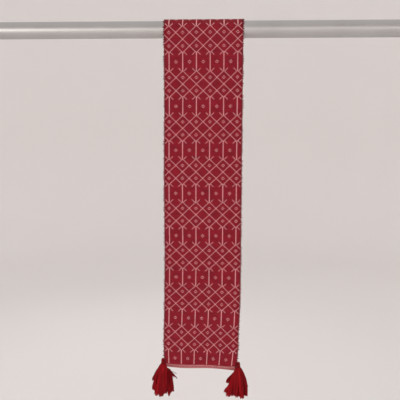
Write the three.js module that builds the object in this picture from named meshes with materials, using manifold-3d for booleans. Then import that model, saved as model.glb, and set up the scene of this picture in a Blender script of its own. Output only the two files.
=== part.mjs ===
// A long woven table runner with a yarn tassel at each corner, folded in half over a plain round tube.
// Millimetres, +Z up. The origin is on the tube's axis, midway between its ends, and the cloth's fold
// lies over it. The front half hangs on the -Y side and the back half on the +Y side.

import * as THREE from 'three';
import { mergeVertices } from 'three/addons/utils/BufferGeometryUtils.js';
import Module from 'manifold-3d';

// Driving dimensions of the tube
const RAIL_DIAMETER = 63;
const RAIL_WALL = 3;
const RAIL_LENGTH = 1800;
const RAIL_SIDES = 48;

// Driving dimensions of the cloth
const CLOTH_THICKNESS = 2.5;
const FRONT_HANG = 1315;
const BACK_HANG = 1362;
const REST_CLEARANCE = 0.5;
const FOLD_LIFT = 1.8;
const FOLD_LIFT_ANGLE = 0.8;
const ACROSS_STEPS = 12;
const FOLD_STEPS = 16;
const HANG_STEP = 44;
const PIECE_GAP = 0.35;
const SEWN_GAP = 0.5;

// FOLD_LIFT is how far the stiff fold stands off the tube at its top, down to FOLD_LIFT_ANGLE on each
// side, where the cloth lies on the tube.

// The front half, one row for each height. drop is the distance below the tube's axis. left and right
// are the selvedges. lag is how much lower a weft thread lies at the right selvedge than at the left.
// stand is how far the cloth stands out from the plumb line, away from the tube.
const FRONT_HALF = [
  { drop: 0, left: -148.6, right: 149.6, lag: -2, stand: 0 },
  { drop: 130, left: -147.4, right: 150.2, lag: -2, stand: 0.3 },
  { drop: 300, left: -146.6, right: 150.4, lag: -1.5, stand: 1.2 },
  { drop: 520, left: -148.0, right: 150.8, lag: -0.5, stand: 2.2 },
  { drop: 720, left: -147.2, right: 151.4, lag: -1, stand: 1.4 },
  { drop: 870, left: -145.8, right: 152.0, lag: 1, stand: 0 },
  { drop: 1010, left: -147.1, right: 151.6, lag: 5.5, stand: -0.8 },
  { drop: 1100, left: -148.2, right: 150.6, lag: 9, stand: -0.6 },
  { drop: 1180, left: -150.0, right: 147.6, lag: 9, stand: 0 },
  { drop: 1255, left: -150.2, right: 146.0, lag: 9, stand: 0.8 },
  { drop: FRONT_HANG, left: -145.6, right: 139.8, lag: 11.5, stand: 1.5 },
];

// The back half, in the same columns. Its hem hangs lower and its corners are drawn in as well.
const BACK_HALF = [
  { drop: 0, left: -148.6, right: 149.6, lag: 2, stand: 0 },
  { drop: 250, left: -149.4, right: 149.0, lag: 1, stand: 0.6 },
  { drop: 560, left: -150.4, right: 148.2, lag: 1.5, stand: 2.0 },
  { drop: 860, left: -151.0, right: 147.4, lag: 3, stand: 1.0 },
  { drop: 1120, left: -151.6, right: 146.6, lag: 5, stand: -0.5 },
  { drop: 1280, left: -150.4, right: 145.8, lag: 8, stand: 0.4 },
  { drop: BACK_HANG, left: -145.2, right: 139.6, lag: 10, stand: 1.2 },
];

// Soft waves that grow towards the hems: height out of the plane, wavelength and crest as shares of
// the width, measured from the middle of the cloth.
const FRONT_WAVE = { height: 5, length: 1.06, crest: -0.33 };
const BACK_WAVE = { height: 6, length: 0.92, crest: 0.18 };
const WAVE_START = 650;

// The front half's right selvedge rolls back a little above the hem.
const ROLL = { depth: 7, from: 0.36, start: 1060, full: 1235 };

// Driving dimensions of a tassel: a folded bundle of yarn, bound at its neck, sewn on by its head.
const HEAD_SIDES = 10;
const HEAD_RADIUS = 6.8;
const NECK_RADIUS = 4.9;
const NECK_TOP = 17;
const NECK_BOTTOM = 22;
const SHOULDER_RADIUS = 18;
const SHOULDER_BOTTOM = 38;
const BINDING_RADIUS = 6.9;
const LOCKS = 60;
const LOCK_STEPS = 5;
const LOCK_SIDES = 3;
const LOCK_ROOT_RADIUS = 1.2;
const LOCK_RADIUS = 2.4;
const GOLDEN_ANGLE = Math.PI * (3 - Math.sqrt(5));

// The tassels, one row each. side is the selvedge it is sewn to, drop is the height of its head's top
// below the tube's axis, length is from there to its lowest lock. left, right and deep are how far its
// skirt spreads, sweep is how far the skirt's middle swings to the right, and bell tells a rounded
// skirt (3) from a straight one (1).
const TASSELS = [
  { name: 'front_left', half: -1, side: -1, drop: 1288, length: 155, left: 38, right: 24, deep: 27,
    sweep: -5, bellLeft: 3.0, bellRight: 2.2 },
  { name: 'front_right', half: -1, side: 1, drop: 1301, length: 143, left: 54, right: 44, deep: 27,
    sweep: -6, bellLeft: 0.95, bellRight: 3.0 },
  { name: 'back_left', half: 1, side: -1, drop: 1340, length: 138, left: 27, right: 29, deep: 27,
    sweep: 10, bellLeft: 2.4, bellRight: 2.6 },
  { name: 'back_right', half: 1, side: 1, drop: 1347, length: 119, left: 50, right: 28, deep: 27,
    sweep: 0, bellLeft: 3.4, bellRight: 2.4 },
];

const RED_CLOTH = 0x8b2b35;
const RED_YARN = 0x761316;
const BINDING_RED = 0x5f0f14;
const RAIL_GREY = 0xb7b2ac;

const ARC_RADIUS = RAIL_DIAMETER / 2 + REST_CLEARANCE + CLOTH_THICKNESS / 2;
const QUARTER_ARC = (ARC_RADIUS * Math.PI) / 2;

const wasm = await Module();
wasm.setup();

// Reads one column of a table of sections at any drop, along a smooth curve through its rows.
function readColumn(rows, column, drop) {
  const last = rows.length - 1;
  const place = THREE.MathUtils.clamp(drop, rows[0].drop, rows[last].drop);
  let i = 0;
  while (i < last - 1 && place > rows[i + 1].drop) i += 1;
  const slope = (k) => {
    const a = rows[Math.max(k - 1, 0)];
    const b = rows[Math.min(k + 1, last)];
    return (b[column] - a[column]) / (b.drop - a.drop);
  };
  const span = rows[i + 1].drop - rows[i].drop;
  const t = (place - rows[i].drop) / span;
  const rise = t * t * (3 - 2 * t);
  const leave = t * (1 - t) * (1 - t) * span * slope(i);
  const arrive = t * t * (t - 1) * span * slope(i + 1);
  return rows[i][column] * (1 - rise) + rows[i + 1][column] * rise + leave + arrive;
}

// How far the cloth leaves the plumb line, outwards, at a share of its width and a drop.
function standOff(half, u, drop) {
  const front = half < 0;
  const rows = front ? FRONT_HALF : BACK_HALF;
  const wave = front ? FRONT_WAVE : BACK_WAVE;
  const hang = front ? FRONT_HANG : BACK_HANG;
  const growth = THREE.MathUtils.smoothstep(drop, WAVE_START, hang);
  const ripple = wave.height * growth * Math.cos((2 * Math.PI * (u - wave.crest)) / wave.length);
  const rolled = THREE.MathUtils.smoothstep(u, ROLL.from, 0.5);
  const roll = ROLL.depth * rolled * THREE.MathUtils.smoothstep(drop, ROLL.start, ROLL.full);
  return readColumn(rows, 'stand', drop) + ripple - (front ? roll : 0);
}

// The middle of the cloth's thickness at u, the share of its width from the middle, and along, the
// length of cloth from the fold's top: negative down the front, positive down the back.
function clothPlace(u, along) {
  const half = along < 0 ? -1 : 1;
  const rows = half < 0 ? FRONT_HALF : BACK_HALF;
  const drop = Math.max(0, Math.abs(along) - QUARTER_ARC);
  const left = readColumn(rows, 'left', drop);
  const right = readColumn(rows, 'right', drop);
  const x = left + (right - left) * (u + 0.5);
  const reach = along + half * readColumn(rows, 'lag', drop) * u;
  if (Math.abs(reach) <= QUARTER_ARC) {
    const angle = reach / ARC_RADIUS;
    const lift = FOLD_LIFT * (1 - THREE.MathUtils.smoothstep(Math.abs(angle), 0, FOLD_LIFT_ANGLE));
    const out = new THREE.Vector3(0, Math.sin(angle), Math.cos(angle));
    return { point: new THREE.Vector3(x, 0, 0).addScaledVector(out, ARC_RADIUS + lift), out };
  }
  const hang = Math.abs(reach) - QUARTER_ARC;
  const y = half * (ARC_RADIUS + standOff(half, u, hang));
  return { point: new THREE.Vector3(x, y, -hang), out: new THREE.Vector3(0, half, 0) };
}

function indexedGeometry(positions, index) {
  const geometry = new THREE.BufferGeometry();
  geometry.setAttribute('position', new THREE.Float32BufferAttribute(positions, 3));
  geometry.setIndex(index);
  geometry.computeVertexNormals();
  return geometry;
}

// The lengths of cloth, from the front hem over the fold to the back hem, at which its rows lie.
function clothRows() {
  const stops = [];
  const frontSteps = Math.round(FRONT_HANG / HANG_STEP);
  const backSteps = Math.round(BACK_HANG / HANG_STEP);
  for (let i = 0; i < frontSteps; i += 1) {
    stops.push(-QUARTER_ARC - FRONT_HANG * (1 - i / frontSteps));
  }
  for (let i = 0; i < FOLD_STEPS; i += 1) {
    stops.push(QUARTER_ARC * ((2 * i) / FOLD_STEPS - 1));
  }
  for (let i = 0; i <= backSteps; i += 1) {
    stops.push(QUARTER_ARC + (BACK_HANG * i) / backSteps);
  }
  return stops;
}

// One closed sheet: an outer and an inner face, joined along the selvedges and the hems.
function clothGeometry() {
  const stops = clothRows();
  const positions = [];
  const index = [];
  const columns = ACROSS_STEPS + 1;
  for (const along of stops) {
    for (let i = 0; i < columns; i += 1) {
      const { point, out } = clothPlace(i / ACROSS_STEPS - 0.5, along);
      for (const face of [1, -1]) {
        positions.push(...point.clone().addScaledVector(out, (face * CLOTH_THICKNESS) / 2));
      }
    }
  }
  const outer = (i, j) => 2 * (j * columns + i);
  const inner = (i, j) => outer(i, j) + 1;
  const quad = (a, b, c, d) => index.push(a, b, c, a, c, d);
  const lastRow = stops.length - 1;
  for (let j = 0; j < lastRow; j += 1) {
    for (let i = 0; i < ACROSS_STEPS; i += 1) {
      quad(outer(i, j), outer(i + 1, j), outer(i + 1, j + 1), outer(i, j + 1));
      quad(inner(i, j), inner(i, j + 1), inner(i + 1, j + 1), inner(i + 1, j));
    }
    quad(outer(0, j), outer(0, j + 1), inner(0, j + 1), inner(0, j));
    quad(outer(ACROSS_STEPS, j), inner(ACROSS_STEPS, j), inner(ACROSS_STEPS, j + 1), outer(ACROSS_STEPS, j + 1));
  }
  for (let i = 0; i < ACROSS_STEPS; i += 1) {
    quad(outer(i, 0), inner(i, 0), inner(i + 1, 0), outer(i + 1, 0));
    quad(outer(i, lastRow), outer(i + 1, lastRow), inner(i + 1, lastRow), inner(i, lastRow));
  }
  return indexedGeometry(positions, index);
}

// A ring of material turned about the Z axis, from a closed profile of [radius, height] points.
function turned(profile, sides) {
  const geometry = new THREE.LatheGeometry(profile.map(([r, z]) => new THREE.Vector2(r, z)), sides);
  geometry.rotateX(Math.PI / 2);
  return geometry;
}

function railGeometry() {
  const outside = RAIL_DIAMETER / 2;
  const inside = outside - RAIL_WALL;
  const end = RAIL_LENGTH / 2;
  const profile = [[inside, -end], [outside, -end], [outside, end], [inside, end], [inside, -end]];
  return turned(profile, RAIL_SIDES).rotateY(Math.PI / 2);
}

function toSolid(geometry) {
  const plain = geometry.clone();
  plain.deleteAttribute('normal');
  plain.deleteAttribute('uv');
  const merged = mergeVertices(plain, 1e-4);
  return new wasm.Manifold(new wasm.Mesh({
    numProp: 3,
    vertProperties: new Float32Array(merged.attributes.position.array),
    triVerts: new Uint32Array(merged.index.array),
  }));
}

function fromSolid(solid) {
  const mesh = solid.getMesh();
  return indexedGeometry(Array.from(mesh.vertProperties), Array.from(mesh.triVerts));
}

// The yarn's folded head, the neck under its binding, and the shoulder that the locks leave.
function headGeometry() {
  const profile = [
    [0, -SHOULDER_BOTTOM],
    [SHOULDER_RADIUS, -SHOULDER_BOTTOM],
    [SHOULDER_RADIUS * 0.92, -SHOULDER_BOTTOM + 6],
    [SHOULDER_RADIUS * 0.58, -NECK_BOTTOM - 4],
    [NECK_RADIUS, -NECK_BOTTOM],
    [NECK_RADIUS, -NECK_TOP],
    [HEAD_RADIUS * 0.93, -NECK_TOP + 3],
    [HEAD_RADIUS, -HEAD_RADIUS * 1.2],
    [HEAD_RADIUS * 0.9, -HEAD_RADIUS * 0.52],
    [HEAD_RADIUS * 0.55, -HEAD_RADIUS * 0.12],
    [0, 0],
  ];
  return turned(profile, HEAD_SIDES);
}

// The cord wound round the neck, one ring clear of the yarn by the gap between pieces.
function bindingGeometry() {
  const inside = NECK_RADIUS + PIECE_GAP / Math.cos(Math.PI / HEAD_SIDES);
  const shoulder = (inside + BINDING_RADIUS) / 2;
  const middle = -(NECK_TOP + NECK_BOTTOM) / 2;
  const rise = (NECK_BOTTOM - NECK_TOP) / 2 - PIECE_GAP;
  const profile = [
    [inside, middle - rise * 0.8],
    [shoulder, middle - rise],
    [BINDING_RADIUS, middle],
    [shoulder, middle + rise],
    [inside, middle + rise * 0.8],
    [inside, middle - rise * 0.8],
  ];
  return turned(profile, HEAD_SIDES);
}

// One lock of the skirt: a tapered bar of three sides that leaves the shoulder and flares outwards.
// share is its distance from the tassel's middle, from 0 to 1, and unevenness is from -1 to 1.
function lockGeometry(tassel, angle, share, unevenness) {
  const towardsRight = (1 + Math.cos(angle)) / 2;
  const bell = THREE.MathUtils.lerp(tassel.bellLeft, tassel.bellRight, towardsRight);
  const wide = THREE.MathUtils.lerp(tassel.left, tassel.right, towardsRight) - LOCK_RADIUS;
  const deep = tassel.deep - LOCK_RADIUS;
  const rootSpread = (SHOULDER_RADIUS - 2 * LOCK_ROOT_RADIUS) * share;
  const top = -SHOULDER_BOTTOM + 2;
  const raised = 9 * share * share + 4 * (1 + unevenness);
  const bottom = -tassel.length + raised;
  const positions = [];
  const index = [];
  for (let step = 0; step <= LOCK_STEPS; step += 1) {
    const t = step / LOCK_STEPS;
    const flare = 1 - (1 - t) ** bell;
    const x = THREE.MathUtils.lerp(rootSpread * Math.cos(angle), wide * share * Math.cos(angle), flare)
      + tassel.sweep * t;
    const y = THREE.MathUtils.lerp(rootSpread * Math.sin(angle), deep * share * Math.sin(angle), flare);
    const z = THREE.MathUtils.lerp(top, bottom, t);
    const thick = THREE.MathUtils.lerp(LOCK_ROOT_RADIUS, LOCK_RADIUS, Math.sin(Math.min(1, 1.25 * t) * Math.PI / 2));
    for (let corner = 0; corner < LOCK_SIDES; corner += 1) {
      const turn = angle + (corner * 2 * Math.PI) / LOCK_SIDES;
      positions.push(x + thick * Math.cos(turn), y + thick * Math.sin(turn), z);
    }
  }
  const at = (step, corner) => step * LOCK_SIDES + (corner % LOCK_SIDES);
  for (let step = 0; step < LOCK_STEPS; step += 1) {
    for (let corner = 0; corner < LOCK_SIDES; corner += 1) {
      const a = at(step, corner);
      const b = at(step, corner + 1);
      const c = at(step + 1, corner + 1);
      const d = at(step + 1, corner);
      index.push(a, c, b, a, d, c);
    }
  }
  index.push(at(0, 0), at(0, 1), at(0, 2));
  index.push(at(LOCK_STEPS, 0), at(LOCK_STEPS, 2), at(LOCK_STEPS, 1));
  return indexedGeometry(positions, index);
}

// A tassel in its own frame: the head's top at the origin, hanging down. The locks are spread evenly
// over the skirt on a spiral, and a lock's unevenness comes from its number.
function tasselGeometry(tassel) {
  let solid = toSolid(headGeometry());
  for (let k = 0; k < LOCKS; k += 1) {
    const share = Math.sqrt((k + 0.5) / LOCKS);
    const unevenness = Math.sin(k * 12.9898 + tassel.length);
    solid = solid.add(toSolid(lockGeometry(tassel, k * GOLDEN_ANGLE, share, unevenness)));
  }
  return fromSolid(solid);
}

// Where a tassel hangs: its head's flat side lies against the selvedge that it is sewn to.
function tasselPlace(tassel) {
  const rows = tassel.half < 0 ? FRONT_HALF : BACK_HALF;
  const middle = tassel.drop + HEAD_RADIUS * 1.2;
  const lag = (readColumn(rows, 'lag', middle) * tassel.side) / 2;
  const { point } = clothPlace(tassel.side / 2, tassel.half * (QUARTER_ARC + middle - lag));
  const headReach = HEAD_RADIUS * Math.cos(Math.PI / HEAD_SIDES) + SEWN_GAP;
  const x = point.x + tassel.side * headReach;
  return new THREE.Vector3(x, point.y, -tassel.drop);
}

function addPiece(group, name, geometry, color, roughness, metalness = 0) {
  const material = new THREE.MeshStandardMaterial({ color, roughness, metalness });
  const mesh = new THREE.Mesh(geometry, material);
  mesh.name = name;
  group.add(mesh);
}

const runnerOverRail = new THREE.Group();
addPiece(runnerOverRail, 'rail', railGeometry(), RAIL_GREY, 0.4, 0.8);
addPiece(runnerOverRail, 'runner', clothGeometry(), RED_CLOTH, 0.9);

for (const tassel of TASSELS) {
  const hung = new THREE.Group();
  hung.position.copy(tasselPlace(tassel));
  addPiece(hung, `tassel_${tassel.name}`, tasselGeometry(tassel), RED_YARN, 0.95);
  addPiece(hung, `binding_${tassel.name}`, bindingGeometry(), BINDING_RED, 0.95);
  runnerOverRail.add(hung);
}

export default runnerOverRail;
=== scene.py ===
"""A long red table runner, woven with a raised pale pattern, folded in half over a round tube rail.

A yarn tassel hangs from each of its four corners. Names that end in _MM are in millimetres, and the
points given to Blender are in metres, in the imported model's own frame.
"""

import math

import bpy
import numpy as np
from mathutils import Matrix, Vector


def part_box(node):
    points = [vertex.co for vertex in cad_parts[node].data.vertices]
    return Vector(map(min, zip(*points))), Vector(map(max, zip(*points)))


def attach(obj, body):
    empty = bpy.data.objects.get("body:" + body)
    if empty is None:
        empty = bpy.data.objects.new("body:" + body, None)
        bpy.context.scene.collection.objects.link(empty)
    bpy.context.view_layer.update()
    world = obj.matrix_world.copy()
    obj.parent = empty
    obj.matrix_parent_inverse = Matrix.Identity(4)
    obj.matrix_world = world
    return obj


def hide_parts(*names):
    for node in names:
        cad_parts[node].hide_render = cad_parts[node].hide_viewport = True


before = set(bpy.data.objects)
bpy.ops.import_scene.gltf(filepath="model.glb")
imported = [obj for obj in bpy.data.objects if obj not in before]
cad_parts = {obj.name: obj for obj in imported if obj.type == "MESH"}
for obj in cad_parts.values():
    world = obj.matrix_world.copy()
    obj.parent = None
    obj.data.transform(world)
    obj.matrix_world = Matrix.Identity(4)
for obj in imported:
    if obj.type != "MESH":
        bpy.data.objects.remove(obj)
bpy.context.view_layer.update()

MM = 0.001

# The rail, from its solid. RAIL_EASED_MM is how far the middle of a rounded edge lies within its corner.
RAIL_LOW, RAIL_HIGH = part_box("rail")
RAIL_RADIUS_MM = (RAIL_HIGH.z - RAIL_LOW.z) / 2 / MM
RAIL_WALL_MM = 3.0
RAIL_ROUNDING_MM = 0.5
RAIL_EASED_MM = 0.15
RAIL_SPANS = 12
RAIL_SIDES = 144

# The cloth's folds, close to those of its solid. drop is the distance below the rail's axis, left and right
# are the selvedges, lag is how much lower a weft thread lies at the right selvedge than at the left, and
# stand is how far the cloth stands out from the plumb line.
COLUMNS = ("drop", "left", "right", "lag", "stand")
FRONT_HANG_MM = 1315.0
BACK_HANG_MM = 1362.0
FRONT_HALF = (
    (0, -148.6, 149.6, -2, 0),
    (130, -147.4, 150.2, -2, 0.3),
    (300, -146.6, 150.4, -1.5, 1.2),
    (520, -148.0, 150.8, -0.5, 2.2),
    (720, -147.2, 151.4, -1, 1.4),
    (870, -145.8, 152.0, 1, 0),
    (1010, -147.1, 151.6, 5.5, -0.8),
    (1100, -148.2, 150.6, 9, -0.6),
    (1180, -150.0, 147.6, 9, 0),
    (1255, -150.2, 146.0, 9, 0.8),
    (FRONT_HANG_MM, -148.0, 139.8, 11.5, 1.5),
)
BACK_HALF = (
    (0, -148.6, 149.6, 2, 0),
    (250, -149.4, 149.0, 1, 0.6),
    (560, -150.4, 148.2, 1.5, 2.0),
    (860, -151.0, 147.4, 3, 1.0),
    (1120, -152.4, 146.6, 5, -0.5),
    (1280, -152.6, 145.8, 8, 0.4),
    (BACK_HANG_MM, -151.5, 139.6, 10, 1.2),
)
FRONT_WAVE = {"height": 5.0, "length": 1.06, "crest": -0.33, "hang": FRONT_HANG_MM}
BACK_WAVE = {"height": 6.0, "length": 0.92, "crest": 0.18, "hang": BACK_HANG_MM}
WAVE_START_MM = 650.0
ROLL = {"depth": 7.0, "from": 0.36, "start": 1060.0, "full": 1235.0}
SOLID_THICKNESS_MM = 2.5
REST_CLEARANCE_MM = 0.5
FOLD_LIFT_MM = 3.8
FOLD_LIFT_ANGLE = 0.8
ARC_RADIUS_MM = RAIL_RADIUS_MM + REST_CLEARANCE_MM + SOLID_THICKNESS_MM / 2
QUARTER_ARC_MM = ARC_RADIUS_MM * math.pi / 2

# The woven cloth itself, without its raised pattern. CLOTH_HALF_MM is half its thickness, and HEM_EXTRA_MM
# is how much thicker a turned hem is. Its two ends are counted from the fold's top, and rounded off over
# END_ROUNDING_MM, down to END_EDGE_SHARE of its thickness.
CLOTH_WIDTH_MM = 298.0
FRONT_END_MM = -(QUARTER_ARC_MM + FRONT_HANG_MM)
BACK_END_MM = QUARTER_ARC_MM + BACK_HANG_MM
CLOTH_HALF_MM = 0.85
CLOTH_STEP_MM = 5.0
END_ROUNDING_MM = 1.2
END_EDGE_SHARE = 0.08
PUCKER_MM = 0.35
PUCKER_GROWTH_MM = 40.0
# Painted shade: the ground turns a darker red in a band along each selvedge, fully dark in the last few
# millimetres.
SELVEDGE_SHADE_BAND_MM = 9.0
SELVEDGE_SHADE_FULL_MM = 3.0
DRAWN_WARP_MM = 1.8
HEM_DEPTH_MM = 7.5
HEM_EXTRA_MM = 0.5
HEM_ROWS_MM = (0, 0.4, 1.2, 3.0, 5.0, HEM_DEPTH_MM - 0.8, HEM_DEPTH_MM + 0.4)

# The raised pattern: bars, a lattice of diamonds and small ring diamonds. Lengths along the cloth are
# counted in picks, one thick pattern thread each, from halfway up a repeat's bars. Lengths across are in
# millimetres from a bar's middle.
BARS = 6
BAR_PITCH_MM = 51.8
PATTERN_SHIFT_MM = -0.4
REPEAT_MM = 166.0
REPEAT_PICKS = 94
PICK_MM = REPEAT_MM / REPEAT_PICKS
FIRST_REPEAT_MM = 12.6
LATTICE_START = 19
LATTICE_PICKS = 56
LATTICE_RUN_MM = BAR_PITCH_MM / (LATTICE_PICKS / 2)
BAR_HALF_MM = 1.95
LATTICE_HALF_MM = 1.75
STROKE_HALF_MM = 1.75
STROKE_INNER_MM = 5.7
STROKE_OUTER_MM = 14.5
STROKE_PICKS = (-1, 4)
RING_HALF_MM = 6.9
RING_PICKS = 3
RING_HOLES_MM = (4.4, 2.5)
EDGE_MARGIN_MM = 1.6
BARE_FRONT_END_MM = 2.0

# A float is the stretch of a pattern thread on the right side between two dives into the weave. It is a low
# bar that slopes at both ends, and its top is narrower than its foot. A carried thread is the same on the
# wrong side, where only those near the hems can be seen.
FLOAT_HEIGHT_MM = 0.62
FLOAT_SUNK_MM = 0.3
FLOAT_WIDTH_MM = 1.4
FLOAT_TOP_SHARE = 0.55
FLOAT_SLOPE_MM = 0.75
FLOAT_WANDER_MM = 0.12
FLOAT_END_WANDER_MM = 0.16
FLOAT_SHORTEST_MM = 1.2
FLOAT_CLOSEST_MM = 0.5
CARRIED_RUN_MM = 130.0
CARRIED_HEIGHT_MM = 0.35
CARRIED_SHORTEST_MM = 1.5
CARRIED_DIVE_MM = 0.2

# The small nubs where pattern threads turn at the selvedges, a loop within a loop. Each loop has half its
# height along the selvedge and its reach out of the cloth.
TURN_PITCH_MM = 9.1
TURN_START_MM = 6.0
TURN_LOOPS_MM = ((2.3, 4.1), (0.9, 2.3))
TURN_RADIUS_MM = 1.0
SELVEDGE_INSET_MM = 1.1

# The stitches that hold the hems
STITCH_PITCH_MM = 6.0
STITCH_LENGTH_MM = 3.6
STITCH_RADIUS_MM = 0.4
STITCH_SLANT_MM = 1.2
STITCH_MARGIN_MM = 3.0

# The tassels, sewn to the selvedges just above the corners, in the same columns as their solids. Each has
# an even bell of locks and a few loose locks or single yarns that stray from it. A loose lock's tip is
# given as x, y and depth from the head's top. Its root, where it leaves the neck as shares of the neck's
# width, is left out where it lies under its tip.
SOLID_HEAD_RADIUS_MM = 6.8
SOLID_HEAD_SIDES = 10
SEWN_GAP_MM = 0.5
HEAD_MIDDLE_MM = SOLID_HEAD_RADIUS_MM * 1.2
HEAD_RADIUS_MM = 5.9
HEAD_INSET_MM = 0.36
HEAD_YARNS = 20
HEAD_YARN_RADIUS_MM = 1.125
NECK_TOP_MM = 17.0
NECK_BOTTOM_MM = 22.0
WINDING_RADIUS_MM = 0.78
WINDING_REACH_MM = 6.6
WINDING_TURNS = 4
WINDING_STEPS = 24
LOOP_RADIUS_MM = 0.7
LOOP_DEPTHS_MM = (2.5, 5.0, 7.5, 10.0, 12.5)
SHOULDER_RADIUS_MM = 18.0
SHOULDER_BOTTOM_MM = 38.0
LOCKS = 36
CLUMPS = 9
CLUMP_PULL = 0.6
YARNS_PER_LOCK = 10
LOCK_SPREAD_MM = (3.2, 5.0)
LOCK_ROOT_SHARE = 0.14
LOOSE_ROOT_SHARE = 0.94
SIDES_SHORTER_MM = 9.0
PARTING_DEPTH_MM = 13.0
PARTING_WIDTH_MM = 7.0
YARN_STEPS = 16
YARN_SIDES = 5
YARN_RADIUS_MM = 1.0
YARN_TWIST_MM = 5.0

# A head yarn's line, as a share of the head's radius and a depth, from the neck up to the crown. CROWN_RINGS
# are the yarns that close the crown: how far out they lie, and how many there are.
HEAD_LINE = (
    (0.96, 24.0), (0.95, 21.5), (0.96, 18.5), (1.0, 15.8), (1.03, 12.5), (1.03, 9.5), (0.95, 6.4),
    (0.78, 3.6), (0.5, 1.3), (0.18, 0.3),
)
CROWN_RINGS = ((0.45, 9), (0.1, 3))

# A skirt's body from the neck to the shoulder: depth below the head's top and radius
SHOULDER_LINE_MM = ((21, 6.48), (24, 8.64), (26, 11.52), (32, 16.2), (38, 18.0))

# A loose lock's tone is set low where the lock hangs in shade and high where it catches the light: painted
# shade and painted highlight, over the yarn's own tone.
LOOSE_COLUMNS = ("tip", "yarns", "spread", "curl", "bell", "tone", "root")
TASSELS = (
    {
        "name": "front_left", "half": -1, "side": -1, "drop": 1288, "length": 150, "seed": 11,
        "left": 34, "right": 24, "deep": 27, "sweep": -5, "bell_left": 3.0, "bell_right": 2.2,
        "shift": 1.5, "lean": 0, "parting": 12, "tones": (0.15, 0.85),
        "loose": (
            ((-39.5, -5, 92), 30, 5.0, 0.5, 1.2, 0.1),
            ((-31, -12, 84), 30, 6.0, 0.5, 1.3, 0.0),
            ((-40, 3, 136), 28, 5.5, 0.8, 1.7, 0.5),
            ((-23, -20, 145), 50, 9.0, 0.6, 1.4, 0.85, (0.15, -0.92)),
            ((-2, -21, 149), 30, 7.0, 0.6, 1.5, 0.35, (0.45, -0.83)),
        ),
    },
    {
        "name": "front_right", "half": -1, "side": 1, "drop": 1301, "length": 143, "seed": 23,
        "left": 50, "right": 48, "deep": 27, "sweep": -6, "bell_left": 0.62, "bell_right": 2.2,
        "shift": 1.2, "lean": 0, "parting": -19, "tones": (0.0, 0.62),
        "loose": (
            ((-54, -3, 127), 30, 6.0, 0.6, 0.7, 0.75),
            ((-45, -8, 139), 28, 6.5, 0.6, 0.8, 0.65),
            ((36, -6, 99), 10, 3.0, 1.0, 1.3, 0.2),
            ((33, -6, 139), 24, 5.5, 0.8, 1.6, 0.4),
            ((14, -20, 140), 44, 9.0, 0.6, 1.4, 0.6, (0.1, -0.93)),
            ((-19, -19, 131), 30, 6.5, 0.6, 1.2, 0.15, (-0.25, -0.9)),
        ),
    },
    {
        "name": "back_left", "half": 1, "side": -1, "drop": 1340, "length": 136, "seed": 37,
        "left": 27, "right": 20, "deep": 27, "sweep": 14, "bell_left": 2.4, "bell_right": 0.5,
        "shift": 1.0, "lean": 13, "parting": 12, "tones": (0.15, 0.85),
        "loose": (
            ((34, -4, 124), 44, 8.0, 0.8, 0.6, 0.5),
            ((54, -6, 67), 3, 1.4, 1.8, 1.7, 0.1),
            ((43, -7, 61), 8, 5.5, 1.8, 1.7, 0.4),
            ((27, -8, 64), 14, 3.0, 1.4, 1.3, 0.1),
        ),
    },
    {
        "name": "back_right", "half": 1, "side": 1, "drop": 1347, "length": 117, "seed": 41,
        "left": 42, "right": 30, "deep": 27, "sweep": 2, "bell_left": 2.4, "bell_right": 2.4,
        "shift": 0.5, "lean": -6, "parting": 10, "tones": (0.1, 0.75),
        "loose": (
            ((-43, -4, 73), 30, 5.0, 0.6, 1.3, 0.6),
            ((-33, -5, 75), 34, 6.0, 0.6, 1.3, 0.5),
            ((-22, -12, 84), 30, 7.0, 0.6, 1.2, 0.2),
        ),
    },
)
GOLDEN_ANGLE = math.pi * (3 - math.sqrt(5))

# Where each set of random draws starts
PATTERN_SEED = 5
CARRIED_SEED = 9
TURN_SEED = 3
HEAD_SEED_STEP = 100

# The camera stands a little right of the cloth's middle, a third of the way down it
CAMERA_PLACE = Vector((0.05654, -1.73105, -0.4962))
CAMERA_YAW = math.radians(2.2)
CAMERA_PITCH = math.radians(5.18)
CAMERA_ROLL = math.radians(0.30)
CAMERA_LENS_SHARE = 1.1

# The studio, in metres: a round floor that bends up into a wall well away from the hanging cloth
FLOOR_DROP = 2.05
WALL_DISTANCE = 7.5
WALL_HEIGHT = 7.4
WALL_SIDES = 96
WALL_BEND_RADIUS = 2.0

# The round soft lights, all turned to the cloth's middle: name, place, width, power, colour, and whether it
# shows as a highlight
CLOTH_MIDDLE = Vector((0, 0, -0.7))
LIGHTS = (
    ("left_light", (-3.4, -4.6, -0.6), 2.6, 46, "#fffbf8", True),
    ("front_light", (-0.9, -5.4, -0.4), 2.4, 14, "#fffbf8", True),
    ("front_right_light", (1.5, -5.4, -0.4), 2.4, 9, "#fffdfc", True),
    ("right_light", (3.4, -4.4, -0.4), 2.4, 15, "#fffdfc", True),
    ("front_fill", (-0.2, -3.6, -0.3), 2.0, 19, "#fffcfa", False),
    ("back_light", (-0.9, 2.7, 0.4), 1.4, 10, "#fffdfc", True),
)
SURROUND_STRENGTH = 0.82


def smoothstep(x, low, high):
    """0 below low and 1 above high, with a smooth rise between them."""
    t = np.clip((np.asarray(x, float) - low) / (high - low), 0, 1)
    return t * t * (3 - 2 * t)


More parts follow.
